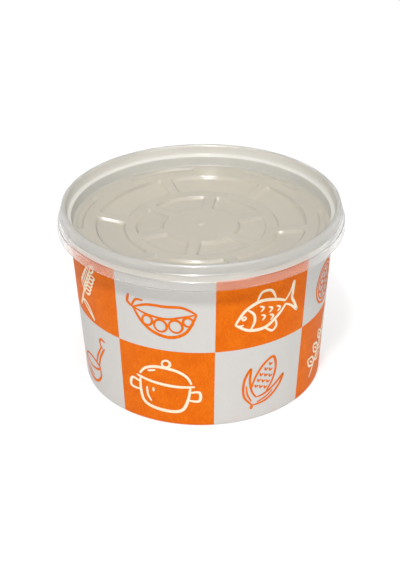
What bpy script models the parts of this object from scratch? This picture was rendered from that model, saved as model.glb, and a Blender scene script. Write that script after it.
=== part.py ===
"""A takeaway soup cup of coated paperboard, closed by a moulded translucent lid.

Metres, +Z up. The origin is the centre of the foot ring, on the surface that the cup
stands on. The side seam is at the back, at about +Y.
"""
import math

import bmesh
import bpy
from mathutils import Vector

MM = 0.001

# Paper wall: one wrapped blank, hemmed at the foot and rolled at the rim.
PAPER = 0.5
FOOT_RADIUS = 50.7
WALL_SLOPE = 0.0585
RIM_CENTRE_Z = 71.0
RIM_ROLL = 1.0
RIM_ROLL_STEPS = 7
HEM_HEIGHT = 6.3
HEM_GAP = 1.1
SEAM_ANGLE = 95.0
SEAM_HALF_WIDTH = 4.0
SEAM_STEP = 0.3
WALL_LAP = 0.4
RIM_LAP = 0.2

# Base: a paper disc with a flange turned down into the hem.
CLEARANCE = 0.3
BASE_UNDERSIDE = 6.6
FLANGE_FOOT = 0.8

# Lid: one moulded sheet. Heights are those of its upper face.
LID_SHEET = 0.6
PANEL_RADIUS = 52.9
PANEL_LEVELS = ((0.0, 66.0), (31.3, 66.0), (44.0, 67.9), (48.4, 68.2), (PANEL_RADIUS, 68.6))
CREST_CENTRE = (56.5, 76.5)
CREST_RADIUS = 1.1
CREST_STEPS = 6
INSIDE_CREST = ((53.1, 68.9), (53.5, 72.8), (53.8, 73.2), (54.9, 73.35), (55.2, 73.8))
OUTSIDE_CREST = ((57.7, 74.2), (58.35, 73.75), (58.55, 71.6), (59.2, 71.2), (59.5, 67.8))

# Pads pressed into the lid: radii, half width of the bar between two pads, angle of the
# first bar, depth, corner cut, and steps along the inner and outer arcs.
PADS_IN_A_RING = 6
PAD_DRAFT = 0.6
PAD_RINGS = (
    {"inner": 15.2, "outer": 27.4, "bar": 1.8, "phase": 20.7, "depth": 1.1, "corner": 1.5, "steps": 5},
    {"inner": 31.3, "outer": 44.0, "bar": 1.8, "phase": 50.7, "depth": 1.1, "corner": 1.8, "steps": 7},
    {"inner": 48.4, "outer": 52.0, "bar": 11.4, "phase": 20.7, "depth": 0.6, "corner": 0.9, "steps": 6},
)
# Middle of the flat band between two rings of pads, and the panel edge.
BAND_RADII = (14.0, 29.35, 46.2, PANEL_RADIUS)
GATE_RADIUS = 1.1
GATE_HEIGHT = 0.5
GATE_SIDES = 10

SEGMENTS = 60
SHARP_ANGLE = math.radians(35.0)


def clear_scene():
    """Empties the file that the script runs in."""
    for obj in list(bpy.data.objects):
        bpy.data.objects.remove(obj, do_unlink=True)


def material(name, colour, roughness, alpha=1.0, transmission=0.0):
    """A Principled material of one finish."""
    mat = bpy.data.materials.new(name)
    mat.use_nodes = True
    shader = mat.node_tree.nodes["Principled BSDF"]
    shader.inputs["Base Color"].default_value = (*colour, 1.0)
    shader.inputs["Roughness"].default_value = roughness
    shader.inputs["Metallic"].default_value = 0.0
    shader.inputs["Alpha"].default_value = alpha
    shader.inputs["Transmission Weight"].default_value = transmission
    return mat


def finish(bm, name, mat):
    """Writes a bmesh in millimetres as a named object in metres."""
    bmesh.ops.scale(bm, vec=(MM, MM, MM), verts=bm.verts)
    mesh = bpy.data.meshes.new(name)
    bm.to_mesh(mesh)
    bm.free()
    mesh.materials.append(mat)
    mesh.shade_smooth()
    mesh.set_sharp_from_angle(angle=SHARP_ANGLE)
    obj = bpy.data.objects.new(name, mesh)
    bpy.context.scene.collection.objects.link(obj)
    return obj


def polar(radius, degrees, height):
    """The point at a radius, an angle about Z and a height."""
    turn = math.radians(degrees)
    return Vector((radius * math.cos(turn), radius * math.sin(turn), height))


def even_angles(count):
    """Equal steps round a full turn, in degrees."""
    return [360.0 * i / count for i in range(count)]


def arc(centre, radius, first, last, steps):
    """Points (radius, height) along an arc of a profile, ends included."""
    turns = [math.radians(first + (last - first) * i / steps) for i in range(steps + 1)]
    return [(centre[0] + radius * math.cos(t), centre[1] + radius * math.sin(t)) for t in turns]


def skin(bm, columns, closed_profile):
    """Joins neighbouring columns of vertices, all round, with quads facing out."""
    count = len(columns[0])
    last = count if closed_profile else count - 1
    for i, column in enumerate(columns):
        following = columns[(i + 1) % len(columns)]
        for j in range(last):
            k = (j + 1) % count
            bm.faces.new((column[j], following[j], following[k], column[k]))


def wall_radius(height):
    """Outer radius of the cup wall at a height."""
    return FOOT_RADIUS + WALL_SLOPE * height


def in_seam(angle):
    """Whether an angle lies on the strip where the blank overlaps itself."""
    return abs(angle - SEAM_ANGLE) <= SEAM_HALF_WIDTH


def sheet_path():
    """Middle line of the paper, from the hem's free edge over the foot to the rolled rim.

    Each entry is (radius, height, lap): lap is the added thickness on the printed side
    where the blank overlaps itself.
    """
    half = PAPER / 2
    hem_shift = HEM_GAP + PAPER
    path = [
        (wall_radius(HEM_HEIGHT) - half - hem_shift, HEM_HEIGHT, 0.0),
        (wall_radius(half) - half - hem_shift, half, 0.0),
        (wall_radius(half) - half, half, 0.0),
    ]
    for height in (2 * PAPER, RIM_CENTRE_Z / 2):
        path.append((wall_radius(height) - half, height, WALL_LAP))
    roll_centre = (wall_radius(RIM_CENTRE_Z) - half + RIM_ROLL, RIM_CENTRE_Z)
    roll = arc(roll_centre, RIM_ROLL, 180.0, -95.0, RIM_ROLL_STEPS)
    path += [(radius, height, RIM_LAP) for radius, height in roll]
    return path


def sheet_outline(path, lapped):
    """Closed outline of the paper's section: the hidden side, then the printed side back."""
    points = [Vector((radius, height)) for radius, height, lap in path]
    hidden = []
    printed = []
    for i, point in enumerate(points):
        before = (point - points[i - 1]).normalized() if i else None
        after = (points[i + 1] - point).normalized() if i + 1 < len(points) else None
        first = before or after
        second = after or before
        along = (first + second).normalized()
        side = Vector((along.y, -along.x))
        stretch = 1.0 / max(side.dot(Vector((first.y, -first.x))), 0.5)
        lap = path[i][2] if lapped else 0.0
        hidden.append(point - side * stretch * PAPER / 2)
        printed.append(point + side * stretch * (PAPER / 2 + lap))
    return hidden + printed[::-1]


def make_cup_wall():
    """The wrapped wall with its hem, side seam and rolled rim."""
    path = sheet_path()
    edge = SEAM_HALF_WIDTH
    angles = [a for a in even_angles(SEGMENTS) if abs(abs(a - SEAM_ANGLE) - edge) > 2 * SEAM_STEP]
    for side in (-1, 1):
        angles.append(SEAM_ANGLE + side * edge)
        angles.append(SEAM_ANGLE + side * (edge + SEAM_STEP))
    bm = bmesh.new()
    columns = []
    for angle in sorted(angles):
        outline = sheet_outline(path, in_seam(angle))
        columns.append([bm.verts.new(polar(p.x, angle, p.y)) for p in outline])
    skin(bm, columns, closed_profile=True)
    bmesh.ops.recalc_face_normals(bm, faces=bm.faces)
    return finish(bm, "cup_wall", material("printed_paper", (0.62, 0.61, 0.58), 0.55))


def make_cup_base():
    """The recessed bottom disc with its turned-down flange, open below."""
    inset = PAPER + CLEARANCE
    top = BASE_UNDERSIDE + PAPER
    outline = [
        (wall_radius(top) - inset, top),
        (wall_radius(FLANGE_FOOT) - inset, FLANGE_FOOT),
        (wall_radius(FLANGE_FOOT) - inset - PAPER, FLANGE_FOOT),
        (wall_radius(BASE_UNDERSIDE) - inset - PAPER, BASE_UNDERSIDE),
    ]
    bm = bmesh.new()
    columns = [[bm.verts.new(polar(r, a, z)) for r, z in outline] for a in even_angles(SEGMENTS)]
    skin(bm, columns, closed_profile=False)
    bm.faces.new([column[0] for column in columns])
    bm.faces.new([column[-1] for column in reversed(columns)])
    bmesh.ops.recalc_face_normals(bm, faces=bm.faces)
    return finish(bm, "cup_base", material("plain_paper", (0.60, 0.58, 0.54), 0.6))


def panel_level(radius):
    """Height of the lid's recessed panel at a radius."""
    for (r0, z0), (r1, z1) in zip(PANEL_LEVELS, PANEL_LEVELS[1:]):
        if radius <= r1:
            return z0 + (z1 - z0) * (radius - r0) / (r1 - r0)
    return PANEL_LEVELS[-1][1]


def pad_outline(ring, number, inset, depth):
    """Corners and arcs of one pad, moved in from its edge and pressed down."""
    inner = ring["inner"] + inset
    outer = ring["outer"] - inset
    bar = ring["bar"] + inset
    corner = ring["corner"] - inset / 2
    pitch = 360.0 / PADS_IN_A_RING
    start = ring["phase"] + pitch * number
    points = []

    def side_angle(radius):
        return math.degrees(math.asin(bar / radius))

    for radius, towards, direction in ((inner, 1, 1), (outer, -1, -1)):
        cut = math.degrees(corner / radius)
        first = start + side_angle(radius) + cut
        last = start + pitch - side_angle(radius) - cut
        sweep = [(radius, first + (last - first) * i / ring["steps"]) for i in range(ring["steps"] + 1)]
        near = radius + towards * corner
        ends = ((near, start + side_angle(near)), (near, start + pitch - side_angle(near)))
        points += ([ends[0]] + sweep + [ends[1]])[::direction]
    return [polar(r, a, panel_level(r) - depth) for r, a in points]


def add_loop(bm, points):
    """Adds a closed loop of vertices and edges."""
    verts = [bm.verts.new(p) for p in points]
    for a, b in zip(verts, verts[1:] + verts[:1]):
        bm.edges.new((a, b))
    return verts


def loop_edges(bm, verts):
    """The edges along a closed loop of vertices."""
    return [bm.edges.get((a, b)) for a, b in zip(verts, verts[1:] + verts[:1])]


def fill(bm, loops):
    """Fills the flat region that the loops bound, seen from above."""
    edges = [edge for loop in loops for edge in loop_edges(bm, loop)]
    bmesh.ops.triangle_fill(bm, use_beauty=True, edges=edges, normal=(0.0, 0.0, 1.0))


def circle(radius, lift=0.0, count=SEGMENTS):
    """A level circle on the panel."""
    return [polar(radius, a, panel_level(radius) + lift) for a in even_angles(count)]


def add_pads(bm, ring):
    """Presses one ring of pads and returns their upper outlines."""
    rims = []
    for number in range(PADS_IN_A_RING):
        rim = add_loop(bm, pad_outline(ring, number, 0.0, 0.0))
        floor = add_loop(bm, pad_outline(ring, number, PAD_DRAFT, ring["depth"]))
        for i, corner in enumerate(rim):
            j = (i + 1) % len(rim)
            bm.faces.new((corner, rim[j], floor[j], floor[i]))
        fill(bm, [floor])
        rims.append(rim)
    return rims


def make_lid():
    """The moulded lid: pressed panel, plug wall, hollow ring and stepped skirt."""
    bm = bmesh.new()
    gate = add_loop(bm, circle(GATE_RADIUS, count=GATE_SIDES))
    gate_top = add_loop(bm, circle(GATE_RADIUS * 0.7, GATE_HEIGHT, GATE_SIDES))
    for i, foot in enumerate(gate):
        j = (i + 1) % GATE_SIDES
        bm.faces.new((foot, gate[j], gate_top[j], gate_top[i]))
    fill(bm, [gate_top])
    boundary = add_loop(bm, circle(BAND_RADII[0], count=SEGMENTS // 2))
    fill(bm, [gate, boundary])
    for ring, radius in zip(PAD_RINGS, BAND_RADII[1:]):
        outer = add_loop(bm, circle(radius))
        fill(bm, [boundary, outer] + add_pads(bm, ring))
        boundary = outer
    profile = list(INSIDE_CREST)
    profile += arc(CREST_CENTRE, CREST_RADIUS, 180.0, 0.0, CREST_STEPS)
    profile += OUTSIDE_CREST
    columns = []
    for start, angle in zip(boundary, even_angles(SEGMENTS)):
        columns.append([start] + [bm.verts.new(polar(r, angle, z)) for r, z in profile])
    skin(bm, columns, closed_profile=False)
    bmesh.ops.recalc_face_normals(bm, faces=bm.faces)
    top = max(bm.faces, key=lambda face: face.calc_center_median().z)
    if top.normal.z < 0.0:
        bmesh.ops.reverse_faces(bm, faces=bm.faces)
    lid = finish(bm, "lid", material("lid_plastic", (0.80, 0.79, 0.74), 0.35, alpha=0.75, transmission=0.5))
    sheet = lid.modifiers.new("Sheet", "SOLIDIFY")
    sheet.thickness = LID_SHEET * MM
    sheet.offset = -1.0
    sheet.use_even_offset = True
    return lid


clear_scene()
make_cup_wall()
make_cup_base()
make_lid()
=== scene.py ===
"""Looks of a takeaway soup cup: printed paper wall, recessed base and moulded lid.

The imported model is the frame. Every piece stands where its CAD node stands, in metres,
with +Z up and the origin at the centre of the foot.
"""
from __future__ import annotations

import logging
import math
from dataclasses import dataclass, replace
from enum import Enum
from typing import Callable, Iterable, Mapping, Sequence

import bpy
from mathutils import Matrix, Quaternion, Vector

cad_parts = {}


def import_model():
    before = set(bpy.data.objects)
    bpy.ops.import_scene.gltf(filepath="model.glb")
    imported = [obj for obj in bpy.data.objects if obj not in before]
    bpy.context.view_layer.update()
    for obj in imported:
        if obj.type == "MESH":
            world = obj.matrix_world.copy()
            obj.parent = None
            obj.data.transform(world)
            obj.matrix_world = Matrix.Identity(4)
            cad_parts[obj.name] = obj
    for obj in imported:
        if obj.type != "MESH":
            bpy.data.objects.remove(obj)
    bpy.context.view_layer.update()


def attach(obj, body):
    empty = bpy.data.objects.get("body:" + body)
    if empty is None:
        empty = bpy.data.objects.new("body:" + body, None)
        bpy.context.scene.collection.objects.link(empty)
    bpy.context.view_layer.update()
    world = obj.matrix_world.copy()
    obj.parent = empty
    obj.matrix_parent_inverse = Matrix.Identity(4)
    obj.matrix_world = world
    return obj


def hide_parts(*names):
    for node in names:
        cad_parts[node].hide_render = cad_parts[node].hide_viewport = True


log = logging.getLogger("soup_cup")

MM = 0.001
WELD = 0.000002  # vertices closer than this are joined, in metres
FILLET_REACH = 0.49  # the most of a side that a fillet takes up
MITRE_LIMIT = 0.6  # keeps an offset corner from running out to a spike

Point = tuple[float, float]
Place = tuple[float, float, float]
Corner = tuple[float, float, float]
Colour = tuple[float, float, float, float]
WHITE: Colour = (1.0, 1.0, 1.0, 1.0)


class Row(Enum):
    """The two rows of the checker print."""

    UPPER = "upper"
    LOWER = "lower"


class Ink(Enum):
    """The two colours that the line drawings are printed in."""

    ORANGE = "orange"
    WHITE = "white"


class Bench:
    """Modelling moves that every piece shares, made with Blender's own operators."""

    @staticmethod
    def deselect() -> None:
        """Leaves edit mode and deselects everything."""
        if bpy.context.object and bpy.context.object.mode != "OBJECT":
            bpy.ops.object.mode_set(mode="OBJECT")
        bpy.ops.object.select_all(action="DESELECT")

    @staticmethod
    def take(obj: bpy.types.Object) -> None:
        """Makes an object the active one and the only one selected."""
        Bench.deselect()
        obj.select_set(True)
        bpy.context.view_layer.objects.active = obj

    @staticmethod
    def lathe(name: str, profile: Sequence[Point], segments: int) -> bpy.types.Object:
        """Turns a profile round Z: a chain of vertices is extruded point by point and spun.

        Args:
            name: the object's name.
            profile: (radius, height) in mm, in order.
            segments: how many columns the turned mesh has.

        Returns:
            The new object, active and in object mode.
        """
        Bench.deselect()
        bpy.ops.mesh.primitive_circle_add(vertices=3, radius=MM)
        obj = bpy.context.object
        obj.name = name
        obj.data.name = name
        bpy.ops.object.mode_set(mode="EDIT")
        bpy.ops.mesh.select_mode(type="VERT")
        bpy.ops.mesh.merge(type="CENTER")
        here = profile[0]
        bpy.ops.transform.translate(value=(here[0] * MM, 0.0, here[1] * MM))
        for radius, height in profile[1:]:
            step = ((radius - here[0]) * MM, 0.0, (height - here[1]) * MM)
            bpy.ops.mesh.extrude_region_move(TRANSFORM_OT_translate={"value": step})
            here = (radius, height)
        bpy.ops.mesh.select_all(action="SELECT")
        bpy.ops.mesh.spin(
            steps=segments, angle=math.tau, center=(0.0, 0.0, 0.0), axis=(0.0, 0.0, 1.0), use_auto_merge=False
        )
        bpy.ops.mesh.select_all(action="SELECT")
        bpy.ops.mesh.remove_doubles(threshold=WELD)
        bpy.ops.mesh.select_all(action="SELECT")
        bpy.ops.mesh.normals_make_consistent(inside=False)
        bpy.ops.object.mode_set(mode="OBJECT")
        return obj

    @staticmethod
    def thicken(obj: bpy.types.Object, thickness: float, offset: float, inner_slot: int = 0) -> None:
        """Gives a sheet its thickness with an applied Solidify modifier.

        Args:
            obj: the sheet, in object mode.
            thickness: in mm.
            offset: -1 grows behind the face, 0 to both sides, 1 in front.
            inner_slot: how many material slots the hidden face lies past the shown one.
        """
        sheet = obj.modifiers.new("Sheet", "SOLIDIFY")
        sheet.thickness = thickness * MM
        sheet.offset = offset
        sheet.use_even_offset = True
        sheet.material_offset = inner_slot
        sheet.material_offset_rim = inner_slot
        bpy.context.view_layer.objects.active = obj
        bpy.ops.object.modifier_apply(modifier=sheet.name)

    @staticmethod
    def smooth(obj: bpy.types.Object, degrees: float) -> None:
        """Shades a finished piece smooth, with edges over an angle kept sharp."""
        Bench.take(obj)
        bpy.ops.object.shade_smooth_by_angle(angle=math.radians(degrees))


def arc(centre: Point, radius: float, first: float, last: float, steps: int) -> list[Point]:
    """Points along an arc, ends included.

    Args:
        centre: the arc's centre.
        radius: its radius, in the units of the centre.
        first: first angle in degrees.
        last: last angle in degrees.
        steps: how many chords.

    Returns:
        The points in order.
    """
    turns = [math.radians(first + (last - first) * i / steps) for i in range(steps + 1)]
    return [(centre[0] + radius * math.cos(t), centre[1] + radius * math.sin(t)) for t in turns]


def rounded(corners: Sequence[Corner], steps: int = 4) -> list[Point]:
    """A profile whose corners are rounded.

    Args:
        corners: (radius, height, fillet) in mm; a fillet of 0 leaves the corner sharp.
        steps: chords in each fillet.

    Returns:
        The profile's points.
    """
    points: list[Point] = []
    for i, (x, y, fillet) in enumerate(corners):
        here = Vector((x, y))
        if fillet <= 0.0 or i in (0, len(corners) - 1):
            points.append((x, y))
            continue
        back = Vector(corners[i - 1][:2]) - here
        ahead = Vector(corners[i + 1][:2]) - here
        reach = min(fillet, FILLET_REACH * back.length, FILLET_REACH * ahead.length)
        start = here + back.normalized() * reach
        end = here + ahead.normalized() * reach
        for j in range(steps + 1):
            t = j / steps
            point = start * (1 - t) ** 2 + here * 2 * t * (1 - t) + end * t ** 2
            points.append((point.x, point.y))
    return points


def offset_inwards(profile: Sequence[Point], thickness: float) -> list[Point]:
    """The other face of a sheet, given one face of its section.

    Args:
        profile: points (radius, height) with the sheet's shown side on their left.
        thickness: sheet thickness in mm.

    Returns:
        As many points, moved to the right of the profile.
    """
    points = [Vector(point) for point in profile]
    moved = []
    for i, point in enumerate(points):
        before = point - points[max(i - 1, 0)]
        after = points[min(i + 1, len(points) - 1)] - point
        before = before.normalized() if before.length else after.normalized()
        after = after.normalized() if after.length else before
        along = (before + after).normalized()
        side = Vector((along.y, -along.x))
        stretch = 1.0 / max(side.dot(Vector((before.y, -before.x))), MITRE_LIMIT)
        moved.append(tuple(point + side * thickness * stretch))
    return moved


@dataclass(frozen=True)
class Lamp:
    """One square area light, aimed at the cup. Place and size in metres, power in watts."""

    name: str
    place: Place
    size: float
    power: float


@dataclass(frozen=True)
class Studio:
    """Floor, light and camera, at the photograph's view. The camera's values in mm and degrees."""

    camera_distance: float = 561.5
    camera_rise: float = 29.237
    look_height: float = 40.0
    aim: Place = (-0.84, -1.27, 37.72)
    camera_roll: float = -0.72
    lens: float = 83.4
    sensor: float = 36.0
    clip: tuple[float, float] = (0.01, 20.0)
    floor_size: float = 6.0
    floor_drop: float = 0.0001
    floor_colour: Colour = (0.4, 0.4, 0.4, 1.0)
    floor_glow: float = 0.57
    floor_roughness: float = 0.9
    floor_shine: float = 0.1
    surround: float = 0.5
    lamp_target: Place = (0.0, 0.0, 0.04)
    lamps: tuple[Lamp, ...] = (
        Lamp("key_light", (-0.15, -0.75, 1.2), 0.16, 11.0),
        Lamp("side_light", (0.75, -0.95, 0.75), 0.3, 1.2),
        Lamp("top_light", (0.1, -0.6, 2.5), 1.8, 35.0),
    )

    def build(self) -> None:
        """Makes the whole studio."""
        self.floor()
        self.lights()
        self.camera()

    def camera(self) -> None:
        """The camera, in front of the cup and above it."""
        rise = math.radians(self.camera_rise)
        bpy.ops.object.camera_add()
        cam = bpy.context.object
        cam.name = "camera"
        cam.location = Vector((
            0.0,
            -self.camera_distance * math.cos(rise),
            self.look_height + self.camera_distance * math.sin(rise),
        )) * MM
        view = Vector(self.aim) * MM - cam.location
        facing = view.to_track_quat("-Z", "Y")
        cam.rotation_mode = "QUATERNION"
        cam.rotation_quaternion = facing @ Quaternion((0.0, 0.0, 1.0), math.radians(self.camera_roll))
        cam.data.lens = self.lens
        cam.data.sensor_width = self.sensor
        cam.data.clip_start, cam.data.clip_end = self.clip
        bpy.context.scene.camera = cam

    def floor(self) -> None:
        """A wide pale floor that glows a little, so that it shows as white as the photograph's ground."""
        Bench.deselect()
        bpy.ops.mesh.primitive_plane_add(size=self.floor_size, location=(0.0, 0.0, -self.floor_drop))
        floor = bpy.context.object
        floor.name = "floor"
        mat, wiring, shader = new_material("floor_white")
        wiring.fill(shader, {
            "Base Color": self.floor_colour,
            "Emission Color": WHITE,
            "Emission Strength": self.floor_glow,
            "Roughness": self.floor_roughness,
            "Specular IOR Level": self.floor_shine,
        })
        floor.data.materials.append(mat)

    def lights(self) -> None:
        """Soft overhead and side lights, with a white surround."""
        world = bpy.data.worlds.new("surround")
        bpy.context.scene.world = world
        world.use_nodes = True
        background = world.node_tree.nodes["Background"]
        Wiring(world.node_tree).fill(background, {"Color": WHITE, "Strength": self.surround})
        for lamp in self.lamps:
            bpy.ops.object.light_add(type="AREA", location=lamp.place)
            light = bpy.context.object
            light.name = lamp.name
            light.data.size = lamp.size
            light.data.energy = lamp.power
            aim = Vector(self.lamp_target) - Vector(lamp.place)
            light.rotation_euler = aim.to_track_quat("-Z", "Y").to_euler()
        bpy.context.scene.view_settings.view_transform = "Standard"


@dataclass
class CupWall:
    """The wrapped paper wall: hem, foot fold, side seam and rolled rim. Sizes in mm."""

    paper: float = 0.5
    foot_radius: float = 50.7
    slope: float = 0.0585
    rim_centre: float = 71.0
    rim_roll: float = 1.0
    hem_height: float = 6.3
    hem_shift: float = 1.6
    segments: int = 288
    wall_rings: int = 24
    seam: float = 97.85
    lap_width: float = 8.0
    lap_ramp: float = 3.0
    lap_rise: float = 0.35
    lap_fade: float = 3.0
    lap_foot: tuple[float, float] = (0.3, 0.4)
    outer_margin: float = 0.1
    cut_width: float = 0.1
    knurl: float = 0.1
    knurl_margin: float = 1.0
    fold_fillet: float = 0.45
    wall_foot: float = 2.0
    roll_end: float = -95.0
    roll_steps: int = 18

    def radius(self, height: float) -> float:
        """Outer radius of the wall at a height."""
        return self.foot_radius + self.slope * height

    def middle(self, height: float) -> float:
        """Radius of the middle of the paper at a height."""
        return self.radius(height) - self.paper / 2

    def profile(self) -> list[Point]:
        """Middle line of the paper, from the hem's free edge to the end of the rolled rim."""
        half = self.paper / 2
        fold = rounded((
            (self.middle(self.hem_height) - self.hem_shift, self.hem_height, 0.0),
            (self.middle(half) - self.hem_shift, half, self.fold_fillet),
            (self.middle(half), half, self.fold_fillet),
            (self.middle(self.wall_foot), self.wall_foot, 0.0),
        ))
        rise = self.rim_centre - self.wall_foot
        heights = [self.wall_foot + rise * i / self.wall_rings for i in range(1, self.wall_rings)]
        wall = [(self.middle(z), z) for z in heights]
        centre = (self.middle(self.rim_centre) + self.rim_roll, self.rim_centre)
        return fold + wall + arc(centre, self.rim_roll, 180.0, self.roll_end, self.roll_steps)

    def build(self, printed: bpy.types.Material, plain: bpy.types.Material) -> bpy.types.Object:
        """Models the wall and dresses it.

        Args:
            printed: finish of the outside.
            plain: finish of the soup side and the cut edges.

        Returns:
            The finished wall.
        """
        obj = Bench.lathe("cup_wall_paper", self.profile(), self.segments)
        self.face_out(obj)
        obj.data.materials.append(printed)
        obj.data.materials.append(plain)
        Bench.thicken(obj, self.paper, 0.0, inner_slot=1)
        self.lap_seam(obj)
        self.knurl_hem(obj)
        Bench.smooth(obj, 40.0)
        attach(obj, "root")
        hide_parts("cup_wall")
        return obj

    def lap_seam(self, obj: bpy.types.Object) -> None:
        """Laps the printed face over itself, with a cut edge of bare board.

        Args:
            obj: the thickened wall, in object mode.
        """
        pitch = 360.0 / self.segments
        cut = math.floor(self.seam / pitch)
        start = self.seam - self.lap_width - self.lap_ramp
        share, run = self.lap_foot
        edge = set()
        for vertex in obj.data.vertices:
            x, y, z = vertex.co / MM
            radius = math.hypot(x, y)
            angle = math.degrees(math.atan2(y, x)) % 360.0
            column = round(angle / pitch)
            if column in (cut, cut + 1):
                angle = self.seam + self.cut_width * (column - cut)
            if radius > self.middle(z) + self.outer_margin and start < angle <= self.seam:
                ramp = min((angle - start) / self.lap_ramp, 1.0)
                fade = min(max((self.rim_centre - self.rim_roll - z) / self.lap_fade, 0.0), 1.0)
                fade *= min(z / run + share, 1.0)
                radius += self.lap_rise * ramp * ramp * (3.0 - 2.0 * ramp) * fade
            turn = math.radians(angle)
            vertex.co = Vector((radius * math.cos(turn), radius * math.sin(turn), z)) * MM
            if column in (cut, cut + 1):
                edge.add(vertex.index)
        for face in obj.data.polygons:
            if edge.issuperset(face.vertices):
                face.material_index = 1

    def knurl_hem(self, obj: bpy.types.Object) -> None:
        """Presses fine upright ribs into the hem's inner ply.

        Args:
            obj: the thickened wall, in object mode.
        """
        pitch = 360.0 / self.segments
        for vertex in obj.data.vertices:
            x, y, z = vertex.co / MM
            radius = math.hypot(x, y)
            outer_ply = radius > self.middle(z) - self.hem_shift + self.paper
            if outer_ply or not self.knurl_margin <= z <= self.hem_height + self.knurl_margin:
                continue
            column = round(math.degrees(math.atan2(y, x)) % 360.0 / pitch)
            if column % 2:
                vertex.co.xy *= (radius - self.knurl) / radius

    def face_out(self, obj: bpy.types.Object) -> None:
        """Turns the sheet's faces so that the printed side is the front.

        Args:
            obj: the turned sheet, in object mode.
        """
        middle = min(obj.data.polygons, key=lambda face: abs(face.center.z / MM - self.rim_centre / 2))
        if middle.normal.dot(Vector((middle.center.x, middle.center.y, 0.0))) < 0.0:
            bpy.context.view_layer.objects.active = obj
            bpy.ops.object.mode_set(mode="EDIT")
            bpy.ops.mesh.select_all(action="SELECT")
            bpy.ops.mesh.flip_normals()
            bpy.ops.object.mode_set(mode="OBJECT")


@dataclass
class CupBase:
    """The recessed bottom disc with its turned-down flange. Sizes in mm."""

    wall: CupWall
    clearance: float = 0.3
    underside: float = 6.6
    flange_foot: float = 0.8
    fillet: float = 0.9
    fillet_steps: int = 6
    border: float = 6.0
    rings: tuple[float, ...] = (40.0, 28.0, 14.0, 4.0, 0.0)
    segments: int = 240

    def build(self, plain: bpy.types.Material) -> bpy.types.Object:
        """Models the base and dresses it.

        Args:
            plain: finish of the unprinted paper.

        Returns:
            The finished base.
        """
        half = self.wall.paper / 2
        inset = self.wall.paper + self.clearance + half
        top = self.underside + half
        profile = rounded((
            (self.wall.radius(self.flange_foot) - inset, self.flange_foot, 0.0),
            (self.wall.radius(top) - inset, top, self.fillet),
            (self.wall.radius(top) - self.border, top, 0.0),
        ), steps=self.fillet_steps)
        profile += [(radius, top) for radius in self.rings]
        obj = Bench.lathe("cup_base_paper", profile, self.segments)
        obj.data.materials.append(plain)
        Bench.thicken(obj, self.wall.paper, 0.0)
        Bench.smooth(obj, 40.0)
        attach(obj, "root")
        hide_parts("cup_base")
        return obj


@dataclass(frozen=True)
class Stroke:
    """One drawn line of a motif, in mm round the motif's middle."""

    points: tuple[Point, ...]
    width: float = 1.2
    closed: bool = False
    tip: float = 0.42
    swell: float = 0.6
    swell_power: float = 0.45
    even: float = 0.9
    waver: float = 0.14

    def path(self, step: float = 0.5) -> list[tuple[Vector, Vector]]:
        """Places along the smooth line through the stroke's points.

        Args:
            step: about how far the places are apart, in mm.

        Returns:
            (place, direction) pairs.
        """
        knots = [Vector(point) for point in self.points]
        count = len(knots)
        spans = count if self.closed else count - 1
        places = []
        for i in range(spans):
            if self.closed:
                a, b, c, d = (knots[(i + k) % count] for k in (-1, 0, 1, 2))
            else:
                a, b, c, d = (knots[min(max(i + k, 0), count - 1)] for k in (-1, 0, 1, 2))
            steps = max(2, round((c - b).length / step))
            for j in range(steps + (i == spans - 1)):
                t = j / steps
                bend = (c - a) + (2.0 * a - 5.0 * b + 4.0 * c - d) * t + (3.0 * b - a - 3.0 * c + d) * t * t
                places.append(b + bend * (t / 2.0))
        last = len(places) - 1
        found = []
        for i, place in enumerate(places):
            if self.closed:
                along = places[(i + 1) % last] - places[(i - 1) % last]
            else:
                along = places[min(i + 1, last)] - places[max(i - 1, 0)]
            found.append((place, along.normalized()))
        return found

    def half_width(self, part: float) -> float:
        """Half the line's width at a part of its length, thinner at the ends of an open line.

        Args:
            part: how far along the line, from 0 to 1.

        Returns:
            The half width in mm.
        """
        if self.closed:
            share = self.even + self.waver * math.sin(math.tau * part + self.points[0][0])
        else:
            share = self.tip + self.swell * math.sin(math.pi * min(max(part, 0.0), 1.0)) ** self.swell_power
        return self.width / 2.0 * share


RING_KNOTS = 9
RING_WOBBLE = 0.05
LEAF_OUTLINE: tuple[Point, ...] = (
    (0.0, 0.03), (0.25, 0.36), (0.55, 0.5), (0.82, 0.27), (1.0, 0.0), (0.82, -0.27), (0.55, -0.5),
    (0.25, -0.36),
)


def ring_stroke(x: float, y: float, radius: float, width: float = 1.1) -> Stroke:
    """A small circle, drawn a little unevenly.

    Args:
        x: its middle's place across.
        y: its middle's place upwards.
        radius: its radius.
        width: line width.

    Returns:
        The circle.
    """
    turns = [math.tau * i / RING_KNOTS for i in range(RING_KNOTS)]
    wobble = [radius * (1.0 + RING_WOBBLE * math.sin(2.0 * turn + x)) for turn in turns]
    points = tuple((x + r * math.cos(t), y + r * math.sin(t)) for r, t in zip(wobble, turns))
    return Stroke(points, width, True)


def leaf_stroke(x: float, y: float, length: float, turn: float, fat: float, width: float = 1.0) -> Stroke:
    """A pointed leaf or grain.

    Args:
        x: its foot's place across.
        y: its foot's place upwards.
        length: from foot to tip.
        turn: direction of the tip in degrees.
        fat: widest place, as a part of the length.
        width: line width.

    Returns:
        The leaf's outline.
    """
    cos, sin = math.cos(math.radians(turn)), math.sin(math.radians(turn))
    points = [(length * along, length * fat * across) for along, across in LEAF_OUTLINE]
    return Stroke(tuple((x + a * cos - b * sin, y + a * sin + b * cos) for a, b in points), width, True)


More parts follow.
